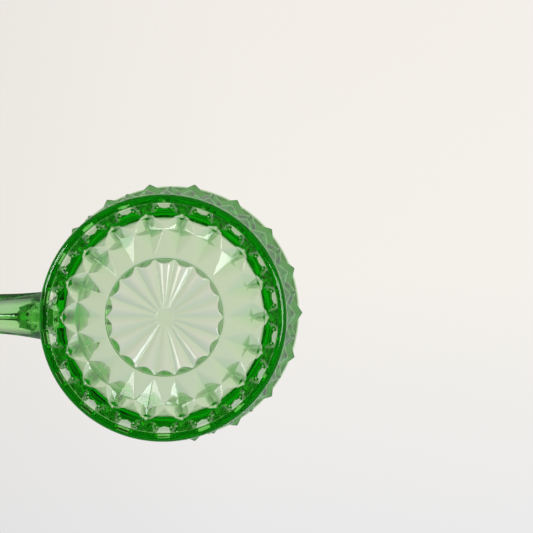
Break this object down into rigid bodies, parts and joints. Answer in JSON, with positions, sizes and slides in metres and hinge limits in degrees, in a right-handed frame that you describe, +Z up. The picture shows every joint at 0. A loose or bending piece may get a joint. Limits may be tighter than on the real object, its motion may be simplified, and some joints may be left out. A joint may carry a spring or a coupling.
{
  "type": "pressed glass mug",
  "caption": "Handled drinking mug in pressed green glass, with pointed studs round the wall, a rolled rim, a strap handle and a ray star under its raised base.",
  "frame": {"origin": "centre of the whole mug's footprint, on the plane that the foot stands on", "axes": "+Z up out of the mouth, +X from the bowl towards the handle, +Y to the left of the handle seen from above"},
  "size_m": [0.127, 0.0946, 0.082],
  "materials": {
    "green_glass": "clear green pressed glass, fire polished, smooth"
  },
  "bodies": {
    "root": {"bowl": "green_glass", "handle": "green_glass"}
  },
  "joints": []
}
